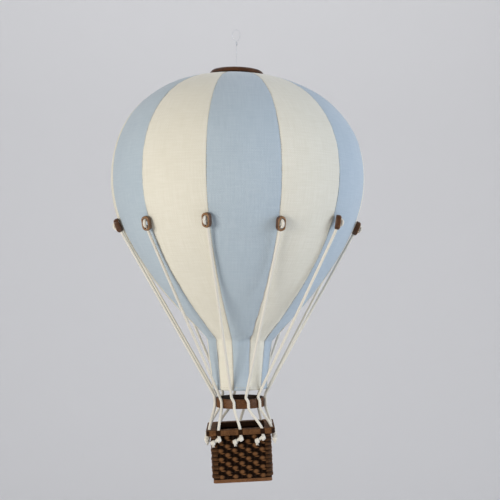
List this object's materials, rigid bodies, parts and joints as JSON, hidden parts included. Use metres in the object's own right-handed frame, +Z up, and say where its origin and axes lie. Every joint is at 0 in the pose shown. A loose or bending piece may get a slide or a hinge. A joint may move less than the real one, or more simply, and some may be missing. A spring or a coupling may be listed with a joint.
{
  "type": "small decorative model of a hot air balloon",
  "caption": "Small hanging model of a hot air balloon: striped cloth envelope sewn from gores, oval clips, taut stays, load ring and woven square basket.",
  "frame": {"origin": "top of the hanging loop, where a hook or a ceiling line holds the balloon", "axes": "+Z up along the hanging line; -Y is the front that faces the viewer; +X to the viewer's right"},
  "size_m": [0.2002, 0.2002, 0.3569],
  "materials": {
    "blue_cloth": "plain weave, matt",
    "cream_cloth": "plain weave, matt",
    "cream_cord": "twisted cotton cord",
    "brown_cap": "dark brown, satin",
    "brown_clip": "dark brown, semi gloss",
    "brown_basket": "dark brown, satin",
    "clear_line": "clear nylon line"
  },
  "bodies": {
    "hanger": {"hanging_loop": "clear_line"},
    "balloon": {"top_cap": "brown_cap", "gore_01": "blue_cloth", "gore_02": "cream_cloth", "gore_03": "blue_cloth", "gore_04": "cream_cloth", "gore_05": "blue_cloth", "gore_06": "cream_cloth", "gore_07": "blue_cloth", "gore_08": "cream_cloth", "gore_09": "blue_cloth", "gore_10": "cream_cloth", "gore_11": "blue_cloth", "gore_12": "cream_cloth", "clip_01": "brown_clip", "clip_02": "brown_clip", "clip_03": "brown_clip", "clip_04": "brown_clip", "clip_05": "brown_clip", "clip_06": "brown_clip", "clip_07": "brown_clip", "clip_08": "brown_clip", "clip_09": "brown_clip", "clip_10": "brown_clip", "clip_11": "brown_clip", "clip_12": "brown_clip", "stay_01": "cream_cord", "stay_02": "cream_cord", "stay_03": "cream_cord", "stay_04": "cream_cord", "stay_05": "cream_cord", "stay_06": "cream_cord", "stay_07": "cream_cord", "stay_08": "cream_cord", "stay_09": "cream_cord", "stay_10": "cream_cord", "stay_11": "cream_cord", "stay_12": "cream_cord", "load_ring": "brown_basket", "basket_rim": "brown_basket", "basket_wall": "brown_basket", "basket_floor": "brown_basket"}
  },
  "joints": [
    {"name": "line_swivel", "type": "hinge", "parent": "hanger", "child": "balloon", "pos_m": [0, 0, -0.0335], "axis": [0, 0, 1], "continuous": true}
  ]
}
